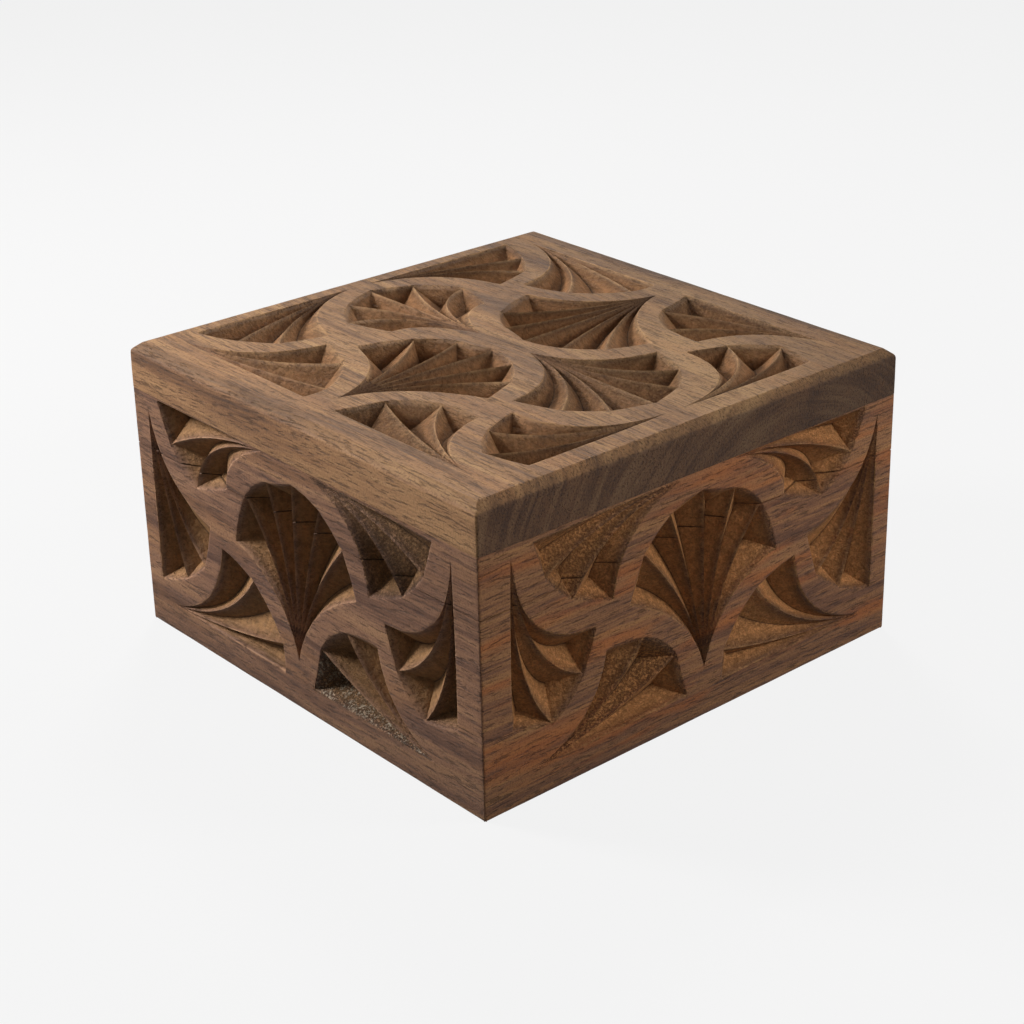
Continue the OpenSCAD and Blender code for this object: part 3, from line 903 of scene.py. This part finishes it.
finish_steel = steel("plain_steel")

# ---- The carved boards -----------------------------------------------------------------
def mapped(fan, move):
    """The fan with every point of its lines moved by a function."""
    tip, ridges, chips = fan
    return (
        move(tip),
        [(move(lean), move(end)) for lean, end in ridges],
        [(move(deep), move(rim), depth, pit) for deep, rim, depth, pit in chips],
    )


def side_fans(side):
    """A side's seven fans, stretched up to the top board, with the side's own pitting."""
    stretch = (Z_BOARD - PATTERN_GAP - PATTERN_LOW) / (PATTERN_HIGH - PATTERN_LOW)
    lift = lambda p: (p[0], PATTERN_LOW + (p[1] - PATTERN_LOW) * stretch)
    fans = []
    for name, fan in PATTERN.items():
        tip, ridges, chips = mapped(fan, lift)
        pits = PITTED.get((side, name), [chip[3] for chip in chips])
        chips = [(*chip[:3], max(pit, ROUGH_CUT.get(side, 0))) for chip, pit in zip(chips, pits)]
        fans.append((tip, ridges, chips))
    return fans


def mirror_fan(fan, middle):
    """The fan in a mirror across the top's middle line, its lines in reverse order."""
    tip, ridges, chips = mapped(fan, lambda p: (p[0], 2 * middle - p[1]))
    return tip, ridges[::-1], chips[::-1]


def top_fans():
    """The top's twelve pockets: the pattern and its mirror image, two pairs merged."""
    stretch = (HALF + PATTERN_GAP - TOP_BORDER) / (PATTERN_HIGH - PATTERN_LOW)
    lay = lambda p: (p[0], TOP_BORDER + (p[1] - PATTERN_LOW) * stretch)
    fans = []
    for name, fan in PATTERN.items():
        near_half = mapped(fan, lay)
        near_half[2][:] = [(*chip[:3], TOP_PITS * chip[3]) for chip in near_half[2]]
        far_half = mirror_fan(near_half, HALF)
        if name not in MERGED:
            fans += [near_half, far_half]
            continue
        tip = (near_half[0][0], HALF)
        a, b = (near_half, far_half) if name == "leaves_top_left" else (far_half, near_half)
        line = a[1][-1]
        middle = ((line[0][0], HALF), (line[1][0], HALF))
        fans.append((tip, a[1][:-1] + [middle] + b[1][1:], a[2] + b[2]))
    return fans


PLACES = {
    "front": (0, 1, finish_front),
    "back": (180, 1, finish_back),
    "right": (90, -1, finish_right),
    "left": (-90, -1, finish_left),
}
WALL_INSIDE = [(WALL_T, Z_BASE_TOP), (WALL_T, GROOVE[1]), (WALL_T - GROOVE_DEPTH, GROOVE[1]),
               (WALL_T - GROOVE_DEPTH, GROOVE[0]), (WALL_T, GROOVE[0]), (WALL_T, 0)]
BACK_INSIDE = [(WALL_T, Z_BASE_TOP), (WALL_T, BACK_NOTCH[1]),
               (HALF - BACK_NOTCH[0], BACK_NOTCH[1]), (HALF - BACK_NOTCH[0], 0)]
RIM_INSIDE = [(WALL_T, Z_BOARD), (WALL_T, Z_LID_BOTTOM)]

for number, (side, (turn, way, finish)) in enumerate(PLACES.items()):
    field = carved_field(side_fans(side), (0, 0), (BODY_W, Z_BOARD), 3.1 + number)
    whole = to_bmesh(field, lambda p, w=way: (w * (p[0] - HALF), p[2], p[1]))
    place = (Matrix.Rotation(math.radians(turn), 4, "Z")
             @ Matrix.Translation((0, -HALF, 0)))
    if side == "back":
        wall = side_board(whole, 0, Z_BASE_TOP, BACK_INSIDE, FOOT_R, SEAM_R, BACK_NOTCH)
    else:
        wall = side_board(whole, 0, Z_BASE_TOP, WALL_INSIDE, FOOT_R, SEAM_R)
    rim = side_board(whole, Z_LID_BOTTOM, Z_BOARD, RIM_INSIDE, SEAM_R, SEAM_R)
    whole.free()
    finish_mesh(wall, f"carved_wall_{side}", place, finish, "base",
                [f"base_{side}_wall"])
    finish_mesh(rim, f"carved_rim_{side}", place, finish, "lid",
                [f"lid_{side}_rim"])
top_field = carved_field(top_fans(), (BEVEL, BEVEL), (BODY_W - BEVEL, BODY_W - BEVEL), 11.7)
finish_mesh(top_board(top_field, 5.0), "carved_top_board", Matrix.Identity(4), finish_top,
            "lid", ["lid_top_board"])

# ---- The plain parts keep their CAD shape, with softened edges ---------------------------
SOFT_EDGE = 0.25 * MM
SHARP_EDGE = 40
PLAIN = {
    "lid_pivot_block": finish_inner, "lid_lock_block": finish_inner,
    "pivot_post": finish_inner, "lock_post": finish_inner, "floor_board": finish_floor,
    "bottom_panel": finish_panel, "pivot_dowel": finish_dowel, "panel_stop_peg": finish_dowel,
    "pivot_washer": finish_steel, "pivot_screw": finish_steel, "lock_pin": finish_steel,
}
for node, finish in PLAIN.items():
    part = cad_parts[node]
    part.data.materials.clear()
    part.data.materials.append(finish)
    weld = part.modifiers.new("weld", "WELD")
    weld.merge_threshold = 1e-6
    soft = part.modifiers.new("soft_edges", "BEVEL")
    soft.width = SOFT_EDGE
    soft.segments = 2
    soft.limit_method = "ANGLE"
    soft.angle_limit = math.radians(SHARP_EDGE)
    soft.harden_normals = True

# ---- Floor, light and camera --------------------------------------------------------------
FLOOR_REACH = 3
FLOOR_COLOUR = (0.048, 0.048, 0.049, 1)
FLOOR_GLOW = 0.862
BACKDROP = (0.913, 0.913, 0.913, 1)
SKY_COLOUR = (0.97, 0.98, 1.0, 1)
SKY_STRENGTH = 0.035


def looked_at(g):
    """1 where the camera looks, straight or by a mirror or glass, and 0 for light."""
    rays = g.node("LightPath").outputs
    bounced = g.math("MAXIMUM", rays["Is Glossy Ray"], rays["Is Transmission Ray"])
    return g.math("MAXIMUM", rays["Is Camera Ray"], bounced)


floor_mesh = bpy.data.meshes.new("floor")
floor_corners = [(x * FLOOR_REACH, y * FLOOR_REACH, 0)
                 for x, y in ((-1, -1), (1, -1), (1, 1), (-1, 1))]
floor_mesh.from_pydata(floor_corners, [], [(0, 1, 2, 3)])
floor = bpy.data.objects.new("floor", floor_mesh)
bpy.context.scene.collection.objects.link(floor)
g = Graph(bpy.data.materials.new("pale_floor"))
plain = g.node("BsdfDiffuse", {"Color": FLOOR_COLOUR})
pale = g.node("Emission", {"Color": (1, 1, 1, 1), "Strength": g.times(looked_at(g), FLOOR_GLOW)})
floor_mesh.materials.append(g.join(g.node("AddShader", {0: plain.outputs[0], 1: pale.outputs[0]})))

g = Graph(bpy.data.worlds.new("studio"), "OutputWorld")
sky = g.node("Background", {"Color": SKY_COLOUR, "Strength": SKY_STRENGTH})
backdrop = g.node("Background", {"Color": BACKDROP})
bpy.context.scene.world = g.join(g.node("MixShader", {
    0: looked_at(g), 1: sky.outputs[0], 2: backdrop.outputs[0],
}))

# A lamp is (place, aim, width, power, colour).
LAMP_COLOUR = (1, 0.985, 0.96)
FILL_COLOUR = (1, 0.985, 0.97)
LAMPS = {
    "behind": ((-0.28, 0.2, 0.4), (0, 0, 0.05), 0.12, 1.4, LAMP_COLOUR),
    "left": ((-0.36, -0.25, 0.25), (0, 0, 0.03), 0.12, 2.6, LAMP_COLOUR),
    "right": ((0.32, 0.27, 0.22), (0, 0, 0.03), 0.12, 0.86, LAMP_COLOUR),
    "fill": ((0.6, -0.05, 0.3), (0, 0, 0.03), 0.3, 0.58, FILL_COLOUR),
    "front_fill": ((-0.05, -0.6, 0.3), (0, 0, 0.03), 0.3, 0.2, FILL_COLOUR),
}
for name, (place, aim, width, power, colour) in LAMPS.items():
    light = bpy.data.lights.new(name, "AREA")
    light.shape = "RECTANGLE"
    light.size = width
    light.size_y = width
    light.energy = power
    light.color = colour
    lamp = bpy.data.objects.new(name, light)
    lamp.location = place
    lamp.rotation_mode = "QUATERNION"
    lamp.rotation_quaternion = (Vector(place) - Vector(aim)).to_track_quat("Z", "Y")
    bpy.context.scene.collection.objects.link(lamp)

# The camera looks down on the corner between front and right. Its offset from the
# origin runs along its own right, up and back.
AZIMUTH, ELEVATION, ROLL = (math.radians(a) for a in (47.91, 23.397, -0.564))
OFFSET = (0.01144, 0.03328, 0.42807)
FRAME_PIXELS = 1024
FOCAL_PIXELS = 2210.05
CENTRE_PIXELS = (575.0, 450.0)
back = Vector((math.sin(AZIMUTH) * math.cos(ELEVATION),
               -math.cos(AZIMUTH) * math.cos(ELEVATION), math.sin(ELEVATION)))
right = Vector((math.cos(AZIMUTH), math.sin(AZIMUTH), 0))
up = back.cross(right)
across = right * math.cos(ROLL) + up * math.sin(ROLL)
upward = up * math.cos(ROLL) - right * math.sin(ROLL)
eye = bpy.data.cameras.new("camera")
eye.sensor_width = 36
eye.lens = eye.sensor_width * FOCAL_PIXELS / FRAME_PIXELS
eye.shift_x = (FRAME_PIXELS / 2 - CENTRE_PIXELS[0]) / FRAME_PIXELS
eye.shift_y = (CENTRE_PIXELS[1] - FRAME_PIXELS / 2) / FRAME_PIXELS
eye.clip_start = 0.01
camera = bpy.data.objects.new("camera", eye)
turned = Matrix((across, upward, back)).transposed().to_4x4()
turned.translation = across * OFFSET[0] + upward * OFFSET[1] + back * OFFSET[2]
camera.matrix_world = turned
bpy.context.scene.collection.objects.link(camera)
bpy.context.scene.camera = camera
bpy.context.scene.view_settings.view_transform = "Standard"
